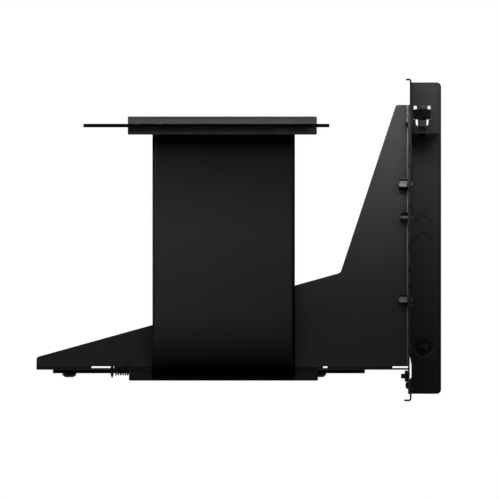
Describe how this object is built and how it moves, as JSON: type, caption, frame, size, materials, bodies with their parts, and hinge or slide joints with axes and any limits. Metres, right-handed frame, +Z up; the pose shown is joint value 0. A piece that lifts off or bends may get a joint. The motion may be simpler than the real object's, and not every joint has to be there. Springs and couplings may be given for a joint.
{
  "type": "vertical graphics card bracket",
  "caption": "Bracket that holds a graphics card upright at the rear of a computer case: folded steel frame, stepped gusset with a card slot, ribbon cable with board plug, captive screw.",
  "frame": {"origin": "the case screw's axis where it leaves the flange face that lies on the case", "axes": "+X to the rear of the case, -Y the way the case screw points, away from the side window and towards the motherboard, +Z up along the rear panel"},
  "size_m": [0.1821, 0.1165, 0.1452],
  "materials": {
    "black_paint": "fine satin powder coat",
    "black_steel": "black finished steel",
    "black_board": "black solder mask",
    "black_moulding": "moulded, satin",
    "contact_gold": "gold plated",
    "ribbon_wrap": "black wrapped flat cable"
  },
  "bodies": {
    "bracket": {"rear_frame": "black_paint", "riser_bracket": "black_paint", "bracket_studs": "black_steel", "bracket_nuts": "black_steel", "bracket_screw": "black_steel", "locating_rivet": "black_steel", "foot_bolt": "black_steel", "foot_nut": "black_steel", "foot_rivet": "black_steel", "latch_guide": "black_steel", "board_screws": "black_steel", "case_screw_ferrule": "black_steel", "latch_spring": "black_steel", "slot_board": "black_board", "plug_board": "black_board", "slot_body": "black_moulding", "slot_cable_cover": "black_moulding", "plug_cover_upper": "black_moulding", "plug_cover_lower": "black_moulding", "slot_contacts": "contact_gold", "ribbon_cable": "ribbon_wrap"},
    "latch": {"card_latch": "black_steel"},
    "case_screw": {"case_thumbscrew": "black_steel", "case_screw_clip": "black_steel"},
    "card_screw_1": {"card_thumbscrew_1": "black_steel"},
    "card_screw_2": {"card_thumbscrew_2": "black_steel"},
    "card_screw_3": {"card_thumbscrew_3": "black_steel"}
  },
  "joints": [
    {"name": "latch_slide", "type": "slide", "parent": "bracket", "child": "latch", "axis": [-1, 0, 0], "range_m": [0, 0.0075], "stiffness_N_per_m": 150, "springref_m": -0.004, "deforming": ["latch_spring"]},
    {"name": "case_screw_turn", "type": "hinge", "parent": "bracket", "child": "case_screw", "pos_m": [0, 0, 0], "axis": [0, 1, 0], "continuous": true},
    {"name": "card_screw_1_turn", "type": "hinge", "parent": "bracket", "child": "card_screw_1", "pos_m": [-0.0006, -0.0534, 0.09685], "axis": [0, 0, 1], "continuous": true},
    {"name": "card_screw_2_turn", "type": "hinge", "parent": "bracket", "child": "card_screw_2", "pos_m": [-0.0006, -0.03308, 0.09685], "axis": [0, 0, 1], "continuous": true},
    {"name": "card_screw_3_turn", "type": "hinge", "parent": "bracket", "child": "card_screw_3", "pos_m": [-0.0006, -0.01276, 0.09685], "axis": [0, 0, 1], "continuous": true}
  ]
}
